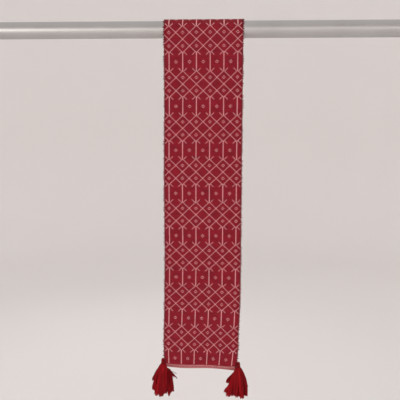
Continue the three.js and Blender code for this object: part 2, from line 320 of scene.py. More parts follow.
def read_column(rows, column, drop):
    """One column of a table of sections at any drops, along a smooth curve through its rows."""
    places = np.array([row[0] for row in rows], float)
    values = np.array([row[COLUMNS.index(column)] for row in rows], float)
    last = len(rows) - 1
    before = np.maximum(np.arange(last + 1) - 1, 0)
    after = np.minimum(np.arange(last + 1) + 1, last)
    slopes = (values[after] - values[before]) / (places[after] - places[before])
    drop = np.clip(drop, places[0], places[-1])
    i = np.clip(np.searchsorted(places, drop, side="left") - 1, 0, last - 1)
    span = places[i + 1] - places[i]
    t = (drop - places[i]) / span
    rise = t * t * (3 - 2 * t)
    leave = t * (1 - t) ** 2 * span * slopes[i]
    arrive = t * t * (t - 1) * span * slopes[i + 1]
    return values[i] * (1 - rise) + values[i + 1] * rise + leave + arrive


def by_half(half, column, drop):
    """One column of the front half's or the back half's table, for each point's own half."""
    return np.where(half < 0, read_column(FRONT_HALF, column, drop), read_column(BACK_HALF, column, drop))


def wave_height(wave, u, drop):
    """How far a half's soft wave stands out at a share of the width, more and more towards the hem."""
    growth = smoothstep(drop, WAVE_START_MM, wave["hang"])
    return wave["height"] * growth * np.cos(2 * np.pi * (u - wave["crest"]) / wave["length"])


def pucker(u, along):
    """The small unevenness that the pattern's tight threads give the cloth.

    Waves about 180 and 330 mm long and finer ones of 70 and 80 mm cross, out of step with the pattern.
    """
    across = u * CLOTH_WIDTH_MM
    broad = np.sin(across / 31 + along / 83 + 1.3) * np.sin(along / 57 - across / 140)
    fine = np.sin(across / 11.5 + np.sin(along / 29)) * np.sin(along / 13.2 + 0.7)
    return PUCKER_MM * (1.6 * broad + 0.55 * fine)


def cloth_place(u, along, lift=0.0):
    """Points on the cloth, in millimetres, and the directions out of its right side.

    u is the share of the width from the middle. along is the length of cloth from the fold's top,
    negative down the front and positive down the back. lift is the height over the cloth's middle layer.
    """
    u, along, lift = np.broadcast_arrays(*(np.asarray(v, float) for v in (u, along, lift)))
    half = np.where(along < 0, -1.0, 1.0)
    drop = np.maximum(0, np.abs(along) - QUARTER_ARC_MM)
    left = by_half(half, "left", drop)
    right = by_half(half, "right", drop)
    reach = along + half * by_half(half, "lag", drop) * u
    angle = np.clip(reach / ARC_RADIUS_MM, -np.pi / 2, np.pi / 2)
    hang = np.maximum(0, np.abs(reach) - QUARTER_ARC_MM)
    waves = np.where(half < 0, wave_height(FRONT_WAVE, u, hang), wave_height(BACK_WAVE, u, hang))
    rolled = ROLL["depth"] * smoothstep(u, ROLL["from"], 0.5)
    rolled = rolled * smoothstep(hang, ROLL["start"], ROLL["full"])
    fold = FOLD_LIFT_MM * (1 - smoothstep(np.abs(angle), 0, FOLD_LIFT_ANGLE))
    puckered = pucker(u, along) * smoothstep(hang, 0, PUCKER_GROWTH_MM)
    off_plumb = by_half(half, "stand", hang) + waves + puckered - np.where(half < 0, rolled, 0)
    radius = ARC_RADIUS_MM + fold + lift + np.where(hang > 0, off_plumb, 0)
    out = np.stack([np.zeros_like(u), np.sin(angle), np.cos(angle)], -1)
    points = out * radius[..., None]
    points[..., 0] = left + (right - left) * (u + 0.5)
    points[..., 2] -= hang
    return points, out


def new_object(name, data):
    """A new object in the scene, made of a mesh, a lamp or a camera."""
    made = bpy.data.objects.new(name, data)
    bpy.context.scene.collection.objects.link(made)
    return made


def mesh_piece(name, points_mm, faces, materials, slots=None, attributes=None):
    """A new mesh object from points in millimetres. attributes holds a value or a vector for each point."""
    mesh = bpy.data.meshes.new(name)
    mesh.from_pydata(np.asarray(points_mm, float) * MM, [], faces)
    for material in materials:
        mesh.materials.append(material)
    if slots is not None:
        mesh.polygons.foreach_set("material_index", np.asarray(slots, np.int32))
    for key, values in (attributes or {}).items():
        values = np.asarray(values, np.float32)
        kind, field = ("FLOAT_VECTOR", "vector") if values.ndim == 2 else ("FLOAT", "value")
        mesh.attributes.new(key, kind, "POINT").data.foreach_set(field, values.ravel())
    mesh.polygons.foreach_set("use_smooth", [True] * len(mesh.polygons))
    mesh.update()
    return new_object(name, mesh)


def ring_quads(count, size, closed=False):
    """The faces between rings of points, one after another, each of the same size.

    closed also joins the last ring to the first.
    """
    i, j = np.meshgrid(np.arange(count if closed else count - 1), np.arange(size), indexing="ij")
    after, nxt = (i + 1) % count, (j + 1) % size
    quads = [i * size + j, i * size + nxt, after * size + nxt, after * size + j]
    return np.stack(quads, -1).reshape(-1, 4)


def to_linear(colour):
    """A colour written as sRGB hex, turned to linear values with alpha 1."""
    parts = [int(colour[i:i + 2], 16) / 255 for i in (1, 3, 5)]
    return (*[c / 12.92 if c <= 0.04045 else ((c + 0.055) / 1.055) ** 2.4 for c in parts], 1.0)


def new_material(name, **sockets):
    """A new material, its node tree and its surface shader, with the shader's own sockets set.

    The sockets are named in words joined by underscores.
    """
    material = bpy.data.materials.new(name)
    material.use_nodes = True
    shader = material.node_tree.nodes["Principled BSDF"]
    for socket, value in sockets.items():
        shader.inputs[socket.replace("_", " ")].default_value = value
    return material, material.node_tree, shader


def add(tree, kind, inputs=None, feeds=None, **settings):
    """Adds a shader node with its settings.

    inputs gives each of its sockets a value, another node's output, or a node in place of its first
    output. feeds links its outputs, by name, on to other nodes' sockets.
    """
    node = tree.nodes.new("ShaderNode" + kind)
    for name, value in settings.items():
        setattr(node, name, value)
    for name, value in (inputs or {}).items():
        if isinstance(value, bpy.types.Node):
            value = value.outputs[0]
        if isinstance(value, bpy.types.NodeSocket):
            tree.links.new(value, node.inputs[name])
        else:
            node.inputs[name].default_value = value
    for name, socket in (feeds or {}).items():
        tree.links.new(node.outputs[name], socket)
    return node


def cloth_map(tree, scale):
    """The place on the laid-out cloth, in millimetres across and along, times a scale for each."""
    place = add(tree, "Attribute", attribute_name="cloth_mm")
    scaled = add(tree, "VectorMath", {0: place.outputs["Vector"], 1: scale}, operation="MULTIPLY")
    return scaled


def thread_ridges(tree, pitch_mm, axis):
    """A rounded ridge from 0 to 1 for each thread at a pitch, side by side across (0) or along (1)."""
    rate = [0.0, 0.0, 0.0]
    rate[axis] = 2 * math.pi / pitch_mm
    place = add(tree, "SeparateXYZ", {0: cloth_map(tree, rate)})
    wave = add(tree, "Math", {0: place.outputs[axis]}, operation="COSINE")
    ridge = add(tree, "Math", {0: wave, 1: 0.5, 2: 0.5}, operation="MULTIPLY_ADD")
    return ridge


def red_cotton_ground():
    """Red cotton in a close plain weave.

    It is matt, with soft streaks where a weft thread is fuller or darker, patches where the dye took more,
    and painted shade: a darker red band along each selvedge.
    """
    material, tree, shader = new_material(
        "red_cotton_ground", Roughness=0.88, IOR=1.5, Specular_IOR_Level=0.25,
        Sheen_Weight=0.06, Sheen_Roughness=0.5, Sheen_Tint=to_linear("#e3a09f"),
    )
    # Over the darkest red lie streaks, about 60 mm long and 3 mm high, and then patches 20 mm wide.
    colour = to_linear("#670c1a")
    noises = []
    for scale, detail, roughness, low, high, most, tint in (
        ((0.016, 0.36, 1), 3.0, 0.6, 0.36, 0.64, 1.0, "#8d182a"),
        ((0.05, 0.055, 1), 2.0, 0.55, 0.35, 0.7, 0.5, "#931625"),
    ):
        noise = add(
            tree, "TexNoise",
            {"Vector": cloth_map(tree, scale), "Scale": 1.0, "Detail": detail, "Roughness": roughness},
        )
        share = add(
            tree, "MapRange",
            {"Value": noise, "From Min": low, "From Max": high, "To Min": 0.0, "To Max": most},
        )
        layer = add(tree, "Mix", {0: share, 6: colour, 7: to_linear(tint)}, data_type="RGBA")
        colour = layer.outputs[2]
        noises.append(noise)
    place = add(tree, "SeparateXYZ", {0: cloth_map(tree, (1, 1, 1))})
    from_middle = add(tree, "Math", {0: place.outputs["X"]}, operation="ABSOLUTE")
    # Painted shade: a darker red blended in towards each selvedge.
    selvedge = add(
        tree, "MapRange",
        {
            "Value": from_middle, "From Min": CLOTH_WIDTH_MM / 2 - SELVEDGE_SHADE_BAND_MM,
            "From Max": CLOTH_WIDTH_MM / 2 - SELVEDGE_SHADE_FULL_MM, "To Min": 0.0, "To Max": 0.6,
        },
        interpolation_type="SMOOTHSTEP",
    )
    add(
        tree, "Mix", {0: selvedge, 6: colour, 7: to_linear("#540813")},
        {2: shader.inputs["Base Color"]},
        data_type="RGBA",
    )
    # The real threads are about 0.5 mm apart; they are drawn about 1.8 mm apart, the finest that can show.
    crossings = add(
        tree, "Math", {0: thread_ridges(tree, DRAWN_WARP_MM, 0), 1: thread_ridges(tree, PICK_MM, 1)},
        operation="MULTIPLY",
    )
    slubs = add(tree, "Math", {0: noises[0], 1: 0.8, 2: crossings}, operation="MULTIPLY_ADD")
    add(
        tree, "Bump", {"Height": slubs, "Distance": 0.25 * MM, "Strength": 0.8},
        {"Normal": shader.inputs["Normal"]},
    )
    return material


def wrong_side_of_brocade():
    """The cloth's wrong side, woven with it.

    Rose threads carried between the motifs cover the red ground, so that it looks paler and greyer than
    the right side, with fine red lines across.
    """
    material, tree, shader = new_material(
        "wrong_side_of_brocade", Roughness=0.85, IOR=1.5, Specular_IOR_Level=0.25,
        Sheen_Weight=0.1, Sheen_Roughness=0.5,
    )
    streaks = add(
        tree, "TexNoise",
        {"Vector": cloth_map(tree, (0.03, 0.5, 1)), "Scale": 1.0, "Detail": 3.0, "Roughness": 0.6},
    )
    carried = add(
        tree, "Mix", {0: streaks, 6: to_linear("#c9817f"), 7: to_linear("#e3a5a1")},
        data_type="RGBA",
    )
    ridges = thread_ridges(tree, PICK_MM, 1)
    add(
        tree, "Mix", {0: ridges, 6: to_linear("#a54350"), 7: carried.outputs[2]},
        {2: shader.inputs["Base Color"]},
        data_type="RGBA",
    )
    add(
        tree, "Bump", {"Height": ridges, "Distance": 0.4 * MM, "Strength": 0.9},
        {"Normal": shader.inputs["Normal"]},
    )
    return material


def rose_floss(name, dark, light):
    """Pale rose floss, softly twisted mercerised cotton.

    It is a little silkier than the ground, and each float has a slightly different tone.
    """
    material, tree, shader = new_material(
        name, Roughness=0.7, IOR=1.5, Specular_IOR_Level=0.35,
        Sheen_Weight=0.2, Sheen_Roughness=0.4, Sheen_Tint=to_linear("#f3d6d2"),
    )
    tone = add(tree, "Attribute", attribute_name="tone")
    add(
        tree, "Mix", {0: tone.outputs["Fac"], 6: to_linear(dark), 7: to_linear(light)},
        {2: shader.inputs["Base Color"]},
        data_type="RGBA",
    )
    fibres = add(
        tree, "TexNoise",
        {"Vector": cloth_map(tree, (0.5, 4.0, 1)), "Scale": 1.0, "Detail": 2.0, "Roughness": 0.6},
    )
    add(
        tree, "Bump", {"Height": fibres, "Distance": 0.15 * MM, "Strength": 0.7},
        {"Normal": shader.inputs["Normal"]},
    )
    return material


def two_ply_yarn(name, dark, light):
    """Soft two-ply cotton yarn, dyed and twisted.

    It is matt and a little fuzzy, with the slanting grooves of its twist, painted shade in those grooves and
    its own tone for each yarn.
    """
    material, tree, shader = new_material(
        name, Roughness=0.92, IOR=1.5, Specular_IOR_Level=0.18,
        Sheen_Weight=0.05, Sheen_Roughness=0.55, Sheen_Tint=to_linear("#c8404a"),
    )
    tone = add(tree, "Attribute", attribute_name="tone")
    turn = add(tree, "Attribute", attribute_name="yarn_turn")
    place = add(tree, "SeparateXYZ", {0: turn.outputs["Vector"]})
    angle = add(tree, "Math", {0: place.outputs["Y"], 1: place.outputs["X"]}, operation="ARCTAN2")
    advance = add(
        tree, "Math", {0: place.outputs["Z"], 1: 2 * math.pi / YARN_TWIST_MM},
        operation="MULTIPLY",
    )
    twist = add(tree, "Math", {0: angle, 1: 2.0, 2: advance}, operation="MULTIPLY_ADD")
    wave = add(tree, "Math", {0: twist}, operation="COSINE")
    ply = add(tree, "Math", {0: wave, 1: 0.5, 2: 0.5}, operation="MULTIPLY_ADD")
    # Painted shade: each yarn's colour is a little darker in the twist's grooves than on its plies, added to
    # its own tone.
    groove_shade_and_tone = add(tree, "Math", {0: ply, 1: 0.2, 2: tone.outputs["Fac"]}, operation="MULTIPLY_ADD")
    add(
        tree, "Mix", {0: groove_shade_and_tone, 6: to_linear(dark), 7: to_linear(light)},
        {2: shader.inputs["Base Color"]},
        data_type="RGBA",
    )
    add(
        tree, "Bump", {"Height": ply, "Distance": 0.4 * MM, "Strength": 0.8},
        {"Normal": shader.inputs["Normal"]},
    )
    return material


def satin_anodised_aluminium():
    """Drawn aluminium tube, brushed along its length and anodised.

    That gives it a soft, long highlight on pale grey, a little duller where it was handled.
    """
    material, tree, shader = new_material("satin_anodised_aluminium", Metallic=1.0)
    place = add(tree, "TexCoord")
    # Brush lines are about 0.1 mm wide; they are drawn at 1 mm so that they show.
    stretched = add(
        tree, "VectorMath", {0: place.outputs["Object"], 1: (6.0, 900.0, 900.0)},
        operation="MULTIPLY",
    )
    brushed = add(tree, "TexNoise", {"Vector": stretched, "Scale": 1.0, "Detail": 3.0, "Roughness": 0.65})
    handled = add(
        tree, "TexNoise",
        {"Vector": place.outputs["Object"], "Scale": 9.0, "Detail": 3.0, "Roughness": 0.5},
    )
    add(
        tree, "Mix", {0: handled, 6: to_linear("#b5b3b1"), 7: to_linear("#c6c4c3")},
        {2: shader.inputs["Base Color"]},
        data_type="RGBA",
    )
    blur = add(tree, "Math", {0: handled, 1: 0.12, 2: 0.3}, operation="MULTIPLY_ADD")
    add(
        tree, "Math", {0: brushed, 1: 0.08, 2: blur},
        {0: shader.inputs["Roughness"]},
        operation="MULTIPLY_ADD",
    )
    add(
        tree, "Bump", {"Height": brushed, "Distance": 0.03 * MM, "Strength": 0.5},
        {"Normal": shader.inputs["Normal"]},
    )
    return material


def studio_paper():
    """Matt off-white paper: no gloss, so that the floor and the wall run into one another."""
    material, tree, shader = new_material("studio_paper", Roughness=0.95, Specular_IOR_Level=0.1)
    place = add(tree, "TexCoord")
    fibres = add(tree, "TexNoise", {"Vector": place.outputs["Object"], "Scale": 0.7, "Detail": 2.0})
    add(
        tree, "Mix", {0: fibres, 6: to_linear("#f5f2f1"), 7: to_linear("#f8f5f4")},
        {2: shader.inputs["Base Color"]},
        data_type="RGBA",
    )
    return material


def hem_share(along):
    """1 within the turned hems and 0 on the rest of the cloth, with a step a millimetre long."""
    to_front = FRONT_END_MM + HEM_DEPTH_MM - along
    to_back = along - (BACK_END_MM - HEM_DEPTH_MM)
    return smoothstep(np.maximum(to_front, to_back), -0.5, 0.5)


def cloth_rows():
    """The lengths of cloth at which the sheet has a row of points, with more of them in the hems."""
    rows = np.arange(FRONT_END_MM + HEM_DEPTH_MM + 1, BACK_END_MM - HEM_DEPTH_MM - 1, CLOTH_STEP_MM)
    hem = np.array(HEM_ROWS_MM)
    return np.concatenate([FRONT_END_MM + hem, rows[1:-1], (BACK_END_MM - hem)[::-1]])


def woven_cloth(right_side, wrong_side):
    """The cloth as one closed sheet with rounded selvedges and hems turned to the wrong side.

    Each row of points runs round the sheet: over its right side, and back under its wrong side.
    """
    rows = cloth_rows()
    steps = round(CLOTH_WIDTH_MM / CLOTH_STEP_MM)
    across = np.linspace(-0.5, 0.5, steps + 1) * (1 - 2 * SELVEDGE_INSET_MM / CLOTH_WIDTH_MM)
    end_depth = np.minimum(rows - FRONT_END_MM, BACK_END_MM - rows)
    rounding = np.sqrt(np.clip(1 - (1 - end_depth / END_ROUNDING_MM) ** 2, END_EDGE_SHARE, 1))
    rounding[end_depth >= END_ROUNDING_MM] = 1
    top = (CLOTH_HALF_MM * rounding)[:, None]
    bottom = top + (HEM_EXTRA_MM * hem_share(rows) * rounding)[:, None]
    outer, _ = cloth_place(across[None, :], rows[:, None], top)
    inner, _ = cloth_place(across[None, ::-1], rows[:, None], -bottom)
    right_edge, _ = cloth_place(across[None, -1:], rows[:, None], 0)
    left_edge, _ = cloth_place(across[None, :1], rows[:, None], 0)
    right_edge[..., 0] += CLOTH_HALF_MM
    left_edge[..., 0] -= CLOTH_HALF_MM
    rings = np.concatenate([outer, right_edge, inner, left_edge], 1)
    shares = np.concatenate([across, across[-1:], across[::-1], across[:1]])
    count, size = rings.shape[:2]
    places = np.zeros_like(rings)
    places[..., 0] = shares * CLOTH_WIDTH_MM
    places[..., 1] = rows[:, None]
    quads = ring_quads(count, size)
    number = np.arange(len(quads)) % size
    slots = ((number > steps) & (number < 2 * steps + 2)).astype(int)
    k = np.arange(steps)
    caps = []
    for base, turn in ((0, 1), ((count - 1) * size, -1)):
        opposite = base + 2 * steps + 2 - k
        right_edge_point, left_edge_point = base + steps + 1, base + size - 1
        caps += np.stack([base + k, opposite, opposite - 1, base + k + 1], -1)[:, ::turn].tolist()
        caps.append([base + steps, right_edge_point + 1, right_edge_point][::turn])
        caps.append([base, left_edge_point, left_edge_point - 1][::turn])
    slots = np.concatenate([slots, np.zeros(len(caps), int)])
    return mesh_piece(
        "woven_cloth", rings.reshape(-1, 3), quads.tolist() + caps, [right_side, wrong_side], slots,
        {"cloth_mm": places.reshape(-1, 3)},
    )


def bar_middles(first=0, last=BARS):
    """The middles of the bars from one number to before another, 0 being the leftmost bar on the cloth.

    The lattice's points lie on the same lines, also on those that would run just beyond the selvedges.
    """
    return [PATTERN_SHIFT_MM + BAR_PITCH_MM * (k - (BARS - 1) / 2) for k in range(first, last)]


def spans_round(middles, half):
    """A span of the same width round each middle, half of it to either side."""
    return [(x - half, x + half) for x in middles]


def motif_spans(pick):
    """Where the pattern thread lies on the right side in one pick: (start, end) in millimetres across."""
    step = (pick + LATTICE_START) % REPEAT_PICKS - LATTICE_START
    spans = []
    edge = CLOTH_WIDTH_MM / 2 - EDGE_MARGIN_MM
    if step < LATTICE_START:
        spans += spans_round(bar_middles(), BAR_HALF_MM)
        spans += ring_spans(step, [x + BAR_PITCH_MM / 2 for x in bar_middles(0, BARS - 1)])
    else:
        run = (step - LATTICE_START) * LATTICE_RUN_MM
        points = [x + side * run for x in bar_middles(-2, BARS + 2) for side in (-1, 1)]
        spans += spans_round(points, LATTICE_HALF_MM)
        for centre in (LATTICE_PICKS // 4, 3 * LATTICE_PICKS // 4):
            spans += ring_spans(step - LATTICE_START - centre, bar_middles())
    spans += stroke_spans(step, bar_middles(-1, BARS + 1))
    return joined_spans([(max(a, -edge), min(b, edge)) for a, b in spans if a < edge and b > -edge])


def ring_spans(step, middles):
    """A small diamond with a hole, cut by the pick that is step picks from its middle."""
    if abs(step) > RING_PICKS:
        return []
    half = RING_HALF_MM - LATTICE_RUN_MM * abs(step)
    if abs(step) >= len(RING_HOLES_MM):
        return spans_round(middles, half)
    hole = RING_HOLES_MM[abs(step)]
    return [(x - half, x - hole) for x in middles] + [(x + hole, x + half) for x in middles]


def stroke_spans(step, middles):
    """The short strokes that cross the lattice's points and lean out beside the bars."""
    first, last = STROKE_PICKS
    spans = []
    for beyond in (LATTICE_START - 1 - step, step + LATTICE_START):
        depth = beyond if abs(step) < REPEAT_PICKS / 2 else beyond - REPEAT_PICKS
        if first <= depth <= last:
            share = (depth - first) / (last - first)
            reach = STROKE_INNER_MM + (STROKE_OUTER_MM - STROKE_INNER_MM) * share
            points = [x + side * reach for x in middles for side in (-1, 1)]
            spans += spans_round(points, STROKE_HALF_MM)
    return spans


def joined_spans(spans):
    """The same spans in order, with those that touch made one."""
    joined = []
    for start, end in sorted(spans):
        if joined and start < joined[-1][1] + FLOAT_CLOSEST_MM:
            joined[-1] = (joined[-1][0], max(end, joined[-1][1]))
        else:
            joined.append((start, end))
    return joined


def all_picks():
    """Every pick of the pattern with its length along the cloth from the fold, from hem to hem."""
    first = math.ceil((-BACK_END_MM + HEM_DEPTH_MM - FIRST_REPEAT_MM) / PICK_MM)
    last = math.floor((-FRONT_END_MM - BARE_FRONT_END_MM - FIRST_REPEAT_MM) / PICK_MM)
    return [(pick, -(FIRST_REPEAT_MM + pick * PICK_MM)) for pick in range(first, last + 1)]


def thread_bars(name, spans, material, base_mm, height_mm, seed):
    """Thick pattern threads on the cloth, each a low bar with sloping ends that dive into the weave.

    spans holds (start, end, along) rows. base_mm and height_mm are measured from the cloth's middle layer.
    """
    spans = np.array(spans, float)
    random = np.random.default_rng(seed)
    start, end, along = spans.T
    wander = random.normal(0, FLOAT_WANDER_MM, len(spans))
    ends = random.normal(0, FLOAT_END_WANDER_MM, (2, len(spans)))
    slope = np.minimum(FLOAT_SLOPE_MM, (end - start) / 4)
    half = FLOAT_WIDTH_MM / 2
    corners = []
    for side in (-1, 1):
        for level, inset, width in ((base_mm, 0, half), (height_mm, 1, half * FLOAT_TOP_SHARE)):
            for limit, inward, shift in ((start, 1, ends[0]), (end, -1, ends[1])):
                across = limit + shift + inward * slope * inset
                point, _ = cloth_place(across / CLOTH_WIDTH_MM, along + wander + side * width, level)
                place = np.stack([across, along + side * width, np.zeros(len(spans))], -1)
                corners.append((point, place))
    points = np.stack([c[0] for c in corners], 1)
    places = np.stack([c[1] for c in corners], 1)
    box = np.array([
        (0, 1, 3, 2), (4, 6, 7, 5), (2, 3, 7, 6), (0, 4, 5, 1), (0, 2, 6, 4), (1, 5, 7, 3),
    ])
    if height_mm < 0:
        box = box[:, ::-1]
    faces = (box[None] + 8 * np.arange(len(spans))[:, None, None]).reshape(-1, 4)
    tone = np.repeat(np.clip(random.normal(0.5, 0.22, len(spans)), 0, 1), 8)
    return mesh_piece(
        name, points.reshape(-1, 3), faces, [material],
        attributes={"cloth_mm": places.reshape(-1, 3), "tone": tone},
    )


def raised_pattern(floss):
    """The pattern's floats on the right side, a piece for each half of the cloth."""
    halves = {"raised_pattern_front": [], "raised_pattern_back": []}
    for pick, along in all_picks():
        half = "raised_pattern_front" if along < 0 else "raised_pattern_back"
        halves[half] += [(a, b, along) for a, b in motif_spans(pick) if b - a > FLOAT_SHORTEST_MM]
    base, height = CLOTH_HALF_MM - FLOAT_SUNK_MM, CLOTH_HALF_MM + FLOAT_HEIGHT_MM
    return [
        thread_bars(name, spans, floss, base, height, seed)
        for seed, (name, spans) in enumerate(halves.items(), PATTERN_SEED)
    ]


def carried_threads(floss):
    """The pattern threads carried on the wrong side between the motifs, near the hems where it shows."""
    edge = CLOTH_WIDTH_MM / 2 - EDGE_MARGIN_MM
    spans = []
    for pick, along in all_picks():
        depth = min(along - FRONT_END_MM, BACK_END_MM - along)
        if not HEM_DEPTH_MM + 1 < depth < CARRIED_RUN_MM:
            continue
        start = -edge
        for a, b in [*motif_spans(pick), (edge, edge)]:
            if a - start > CARRIED_SHORTEST_MM:
                spans.append((start + CARRIED_DIVE_MM, a - CARRIED_DIVE_MM, along))
            start = b
    base, height = -(CLOTH_HALF_MM - FLOAT_SUNK_MM), -(CLOTH_HALF_MM + CARRIED_HEIGHT_MM)
    return thread_bars("carried_threads", spans, floss, base, height, CARRIED_SEED)


def tubes(paths, radius, sides):
    """Round threads along paths of points, shape (threads, points, 3): their points and faces.

    radius is one number or one for each thread and point. The faces are lists of point numbers.
    """
    threads, steps, _ = paths.shape
    radius = np.broadcast_to(radius, (threads, steps))
    tangents = np.gradient(paths, axis=1)
    tangents /= np.linalg.norm(tangents, axis=-1, keepdims=True) + 1e-12
    normal = np.cross(tangents[:, 0], [0.31, 0.83, 0.46])
    normals = np.zeros_like(paths)
    for step in range(steps):
        tangent = tangents[:, step]
        normal = normal - tangent * (normal * tangent).sum(-1, keepdims=True)
        normal = normal / (np.linalg.norm(normal, axis=-1, keepdims=True) + 1e-12)
        normals[:, step] = normal
    sideways = np.cross(tangents, normals)
    turn = np.arange(sides) * 2 * np.pi / sides
    ring = (np.cos(turn)[:, None] * normals[:, :, None] + np.sin(turn)[:, None] * sideways[:, :, None])
    points = paths[:, :, None] + ring * radius[..., None, None]
    first = (np.arange(threads) * steps * sides)[:, None]
    faces = (ring_quads(steps, sides) + first[..., None]).reshape(-1, 4).tolist()
    faces += (np.arange(sides)[::-1] + first).tolist()
    faces += (np.arange(sides) + (steps - 1) * sides + first).tolist()
    return points.reshape(-1, 3), faces


def yarn_turns(paths, sides):
    """Each tube point's place round its yarn, as a cosine and a sine, and along it in millimetres."""
    lengths = np.linalg.norm(np.diff(paths, axis=1), axis=-1)
    along = np.concatenate([np.zeros((len(paths), 1)), np.cumsum(lengths, 1)], 1)
    turn = np.arange(sides) * 2 * np.pi / sides
    round_and_along = np.zeros((*along.shape, sides, 3))
    round_and_along[..., 0] = np.cos(turn)
    round_and_along[..., 1] = np.sin(turn)
    round_and_along[..., 2] = along[..., None]
    return round_and_along.reshape(-1, 3)


def thread_piece(name, paths, radius, sides, tones, yarn):
    """A piece of round threads along paths, with a tone for each thread or one tone for all."""
    paths = np.asarray(paths, float)
    points, faces = tubes(paths, radius, sides)
    tone = np.repeat(np.broadcast_to(tones, len(paths)), paths.shape[1] * sides)
    attributes = {"tone": tone, "yarn_turn": yarn_turns(paths, sides)}
    return mesh_piece(name, points, faces, [yarn], attributes=attributes)


def thread_turns(yarn):
    """The small loops that the pattern thread makes where it turns at the two selvedges."""
    alongs = np.arange(FRONT_END_MM + TURN_START_MM, BACK_END_MM - TURN_START_MM, TURN_PITCH_MM)
    random = np.random.default_rng(TURN_SEED)
    angles = np.linspace(-np.pi / 2, np.pi / 2, 7)
    paths = []
    for side in (-1, 1):
        centre = alongs + random.normal(0, 0.4, len(alongs))
        scale = random.uniform(0.3, 1.5, len(alongs))
        for half_height, reach in TURN_LOOPS_MM:
            path, _ = cloth_place(side / 2, centre[:, None] + half_height * np.sin(angles), 0)
            path[..., 0] += side * (reach * scale[:, None] * np.cos(angles) - SELVEDGE_INSET_MM)
            paths.append(path)
    paths = np.concatenate(paths)
    tones = random.uniform(0, 0.8, len(paths))
    return thread_piece("thread_turns", paths, TURN_RADIUS_MM, 6, tones, yarn)


def hem_stitches(yarn):
    """The slanting stitches that hold the two turned hems on the wrong side."""
    edge = CLOTH_WIDTH_MM / 2 - STITCH_MARGIN_MM
    across = np.arange(-edge, edge, STITCH_PITCH_MM)
    t = np.linspace(-0.5, 0.5, 7)
    u = (across[:, None] + STITCH_SLANT_MM * t) / CLOTH_WIDTH_MM
    height = CLOTH_HALF_MM + (HEM_EXTRA_MM + 0.2) * np.cos(np.pi * t)
    paths = []
    for end, inward in ((FRONT_END_MM, 1), (BACK_END_MM, -1)):
        middle = end + inward * (HEM_DEPTH_MM + 0.2)
        path, _ = cloth_place(u, middle + inward * STITCH_LENGTH_MM * t[None], -height[None])
        paths.append(path)
    return thread_piece("hem_stitches", np.concatenate(paths), STITCH_RADIUS_MM, 5, 0.5, yarn)


def selvedge_lag(tassel, drop):
    """How much lower than the cloth's middle a weft thread lies at a tassel's selvedge."""
    return float(by_half(np.array(tassel["half"]), "lag", drop)) * tassel["side"] / 2


def tassel_place(tassel):
    """Where a tassel's head hangs, beside the selvedge that it is sewn to."""
    half, side = tassel["half"], tassel["side"]
    middle = tassel["drop"] + HEAD_MIDDLE_MM
    along = half * (QUARTER_ARC_MM + middle - selvedge_lag(tassel, middle))
    point, _ = cloth_place(side / 2, along)
    reach = SOLID_HEAD_RADIUS_MM * math.cos(math.pi / SOLID_HEAD_SIDES) + SEWN_GAP_MM
    return np.array([point[0] + side * reach + tassel["shift"], point[1], -tassel["drop"]])


def shoulder_radius(depth):
    """The radius of the tassel's body at a depth below its head's top, from the neck to the shoulder."""
    depths, radii = zip(*SHOULDER_LINE_MM)
    return np.interp(depth, depths, radii)


def tassel_locks(tassel, random):
    """The locks of a tassel's skirt: where each leaves the neck, where its tip is and how it falls.

    The outer locks gather in clumps, each with its own tone and length, so that gaps open between them.
    """
    dark, light = tassel["tones"]
    clumps = random.uniform((-0.2, dark, -4), (0.2, light, 4), (CLUMPS, 3))
    locks = []
    for k in range(LOCKS):
        share = math.sqrt((k + 0.6) / LOCKS)
        angle = (k * GOLDEN_ANGLE + tassel["seed"]) % (2 * math.pi)
        number = int(angle / (2 * math.pi) * CLUMPS)
        turn, tone, longer = clumps[number]
        middle = (number + 0.5 + turn) * 2 * math.pi / CLUMPS
        gathered = angle + (middle - angle) * CLUMP_PULL * share
        x, y = share * math.cos(gathered), share * math.sin(gathered)
        rightness = 0.5 + 0.5 * math.cos(gathered)
        wide = tassel["left"] + (tassel["right"] - tassel["left"]) * rightness
        bell = tassel["bell_left"] + (tassel["bell_right"] - tassel["bell_left"]) * rightness
        spread = random.uniform(*LOCK_SPREAD_MM)
        tip_x = x * (wide - spread) + tassel["sweep"]
        parted = PARTING_DEPTH_MM * math.exp(-(((tip_x - tassel["parting"]) / PARTING_WIDTH_MM) ** 2))
        depth = tassel["length"] - SIDES_SHORTER_MM * x ** 2 - parted
        depth += longer * share + random.normal(0, 1.5)
        locks.append({
            "root": (share * math.cos(angle), share * math.sin(angle)),
            "tip": (tip_x, y * (tassel["deep"] - spread), depth),
            "bell": bell, "spread": spread, "yarns": YARNS_PER_LOCK, "curl": 0.8,
            "tone": tone + random.normal(0, 0.08),
        })
    for row in tassel["loose"]:
        loose = dict(zip(LOOSE_COLUMNS, row))
        x, y, _ = loose["tip"]
        away = LOOSE_ROOT_SHARE / math.hypot(x, y)
        locks.append({"root": (x * away, y * away), **loose})
    return locks


